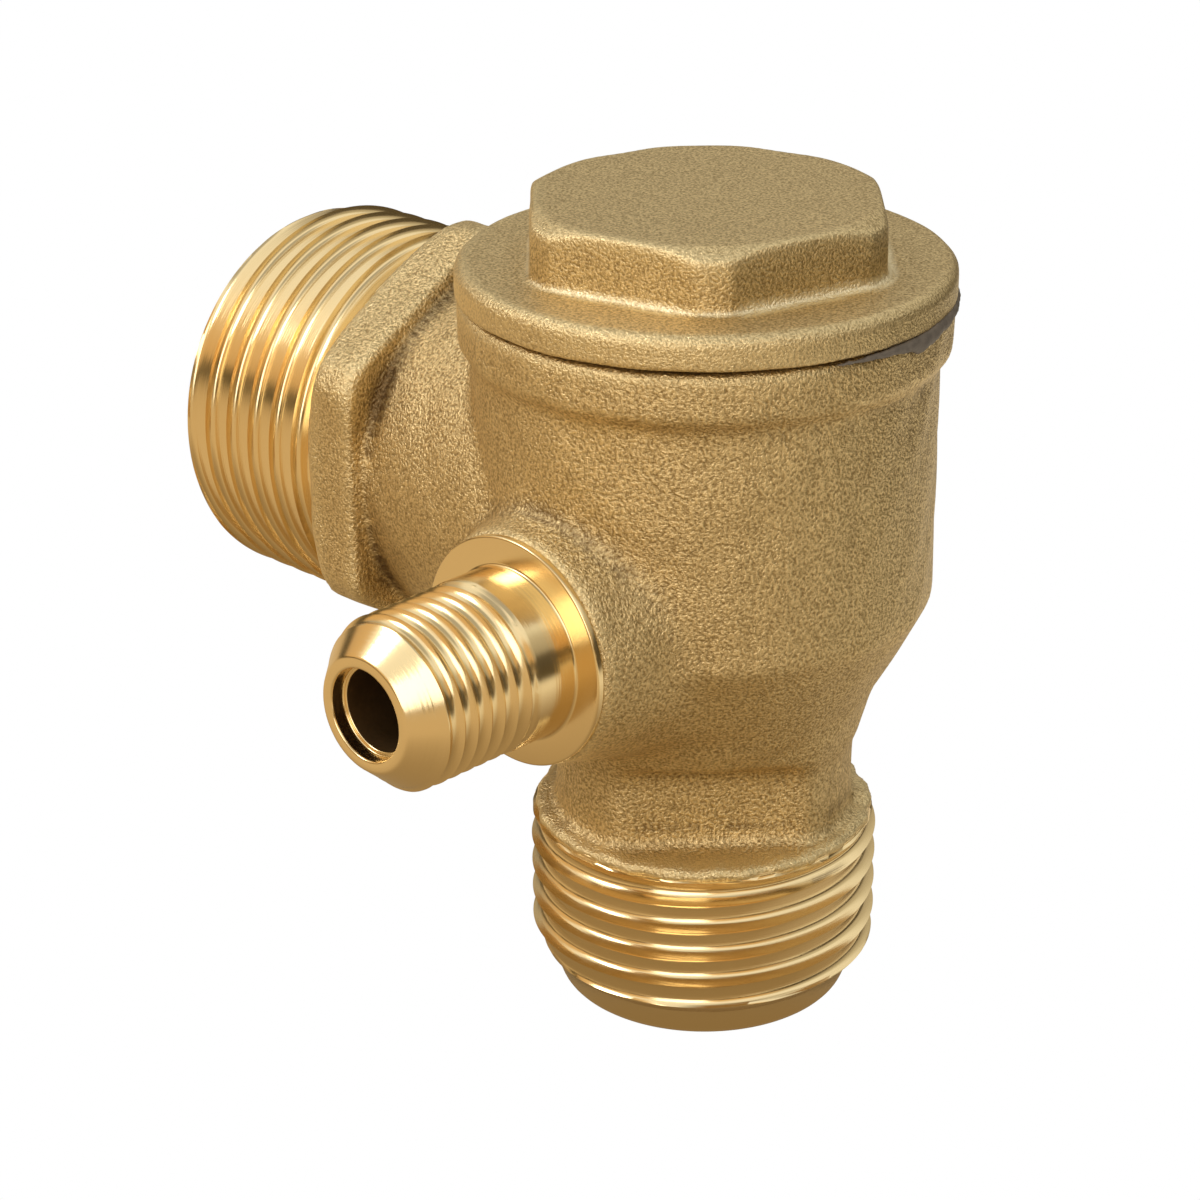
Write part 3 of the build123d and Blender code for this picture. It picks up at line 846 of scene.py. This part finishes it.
studio = {
    "floorColour": (0.86, 0.86, 0.86), "floorSize": 3.0,
    # Painted reflection: what brass mirrors in the floor, by distance from the part in metres, and towards
    # its bright side; the floor glows with it for glossy rays only
    "floorMirrored": [
        (0.0, (0.26, 0.18, 0.09)), (0.035, (0.42, 0.3, 0.16)), (0.075, (0.7, 0.52, 0.3)),
        (1.0, (0.62, 0.45, 0.25)),
    ],
    "floorBright": [
        (0.0, (0.95, 0.87, 0.7)), (0.085, (0.9, 0.8, 0.62)), (0.13, (0.1, 0.075, 0.04)),
        (1.0, (0.1, 0.075, 0.04)),
    ],
    "brightWay": (0.72, 0.69, 0.0), "brightStart": 0.01, "brightEnd": 0.06,
    # What it mirrors above the floor, by the sine of the elevation, in front (-Y) and behind (+Y)
    "mirroredFront": [
        (0.0, (0.5, 0.36, 0.19)), (0.04, (0.5, 0.36, 0.19)), (0.07, (0.1, 0.075, 0.035)),
        (0.18, (0.1, 0.075, 0.035)), (0.23, (0.78, 0.5, 0.23)), (0.52, (0.76, 0.52, 0.26)),
        (0.62, (1.05, 1.0, 0.9)), (0.85, (1.05, 1.03, 0.98)), (0.93, (0.5, 0.48, 0.44)),
    ],
    "mirroredBehind": [
        (0.0, (0.1, 0.08, 0.05)), (0.19, (0.1, 0.08, 0.05)), (0.26, (0.44, 0.39, 0.3)),
        (0.5, (0.6, 0.55, 0.44)), (0.63, (1.0, 0.98, 0.9)), (0.82, (1.0, 0.98, 0.92)),
        (0.93, (0.5, 0.48, 0.44)),
    ],
    "behindStart": -0.25, "behindEnd": 0.35,
    # Each lamp's name, place in metres, size and power
    "lamps": [("keyLamp", (-0.27, -0.31, 0.4), 0.18, 0.7), ("sideLamp", (0.2, -0.42, 0.2), 0.3, 0.6)],
    "ambient": 0.6,
}


def makeFloor():
    s = studio
    size = s["floorSize"]
    mesh = bpy.data.meshes.new("floor")
    corners = [(-size, -size, 0), (size, -size, 0), (size, size, 0), (-size, size, 0)]
    mesh.from_pydata(corners, [], [(0, 1, 2, 3)])
    floor = addPiece("floor", mesh)
    finish, tree, shader = newFinish("floorWhite", s["floorColour"], 0.0, 0.9)
    link = tree.links.new
    path = tree.nodes.new("ShaderNodeLightPath")
    white = addNode(tree, "ShaderNodeEmission", Color=(1, 1, 1, 1), Strength=1.0)
    seen = addNode(tree, "ShaderNodeMixShader")
    link(path.outputs["Is Camera Ray"], seen.inputs["Fac"])
    link(shader.outputs[0], seen.inputs[1])
    link(white.outputs[0], seen.inputs[2])
    place = tree.nodes.new("ShaderNodeTexCoord").outputs["Object"]
    away = addNode(tree, "ShaderNodeVectorMath", {"operation": "LENGTH"})
    side = addNode(tree, "ShaderNodeVectorMath", {"operation": "DOT_PRODUCT"})
    link(place, away.inputs[0])
    link(place, side.inputs[0])
    side.inputs[1].default_value = s["brightWay"]
    bright = addNode(tree, "ShaderNodeMapRange", From_Min=s["brightStart"], From_Max=s["brightEnd"])
    link(side.outputs["Value"], bright.inputs["Value"])
    # For glossy rays the floor glows with these colours: a painted reflection, darker and warmer near the
    # part and pale towards the bright side
    glow = tree.nodes.new("ShaderNodeEmission")
    dim = addRamp(tree, away.outputs["Value"], s["floorMirrored"])
    light = addRamp(tree, side.outputs["Value"], s["floorBright"])
    link(addMix(tree, bright.outputs["Result"], dim, light), glow.inputs["Color"])
    mirrored = addNode(tree, "ShaderNodeMixShader")
    link(path.outputs["Is Glossy Ray"], mirrored.inputs["Fac"])
    link(seen.outputs[0], mirrored.inputs[1])
    link(glow.outputs[0], mirrored.inputs[2])
    link(mirrored.outputs[0], tree.nodes["Material Output"].inputs["Surface"])
    mesh.materials.append(finish)


def makeLamps():
    for name, place, size, power in studio["lamps"]:
        data = bpy.data.lights.new(name, "AREA")
        data.energy = power
        data.shape = "SQUARE"
        data.size = size
        lamp = bpy.data.objects.new(name, data)
        lamp.location = place
        lamp.rotation_euler = (Vector((0, 0, 0.025)) - Vector(place)).to_track_quat("-Z", "Y").to_euler()
        bpy.context.scene.collection.objects.link(lamp)


def makeWorld():
    s = studio
    world = bpy.data.worlds.new("studioWorld")
    world.use_nodes = True
    bpy.context.scene.world = world
    tree = world.node_tree
    link = tree.links.new
    plain = tree.nodes["Background"]
    plain.inputs["Color"].default_value = (1, 1, 1, 1)
    path = tree.nodes.new("ShaderNodeLightPath")
    level = addNode(tree, "ShaderNodeMapRange", To_Min=s["ambient"], To_Max=1.0)
    link(path.outputs["Is Camera Ray"], level.inputs["Value"])
    link(level.outputs["Result"], plain.inputs["Strength"])
    way = tree.nodes.new("ShaderNodeTexCoord").outputs["Generated"]
    height = tree.nodes.new("ShaderNodeSeparateXYZ")
    link(way, height.inputs[0])
    behind = addNode(tree, "ShaderNodeMapRange", From_Min=s["behindStart"], From_Max=s["behindEnd"])
    link(height.outputs["Y"], behind.inputs["Value"])
    front = addRamp(tree, height.outputs["Z"], s["mirroredFront"])
    back = addRamp(tree, height.outputs["Z"], s["mirroredBehind"])
    mirrored = tree.nodes.new("ShaderNodeBackground")
    link(addMix(tree, behind.outputs["Result"], front, back), mirrored.inputs["Color"])
    mixed = tree.nodes.new("ShaderNodeMixShader")
    link(path.outputs["Is Glossy Ray"], mixed.inputs["Fac"])
    link(plain.outputs[0], mixed.inputs[1])
    link(mirrored.outputs[0], mixed.inputs[2])
    link(mixed.outputs[0], tree.nodes["World Output"].inputs["Surface"])


makeCamera()
makeFloor()
makeLamps()
makeWorld()
bpy.context.scene.view_settings.view_transform = "Standard"
print("scene ready")
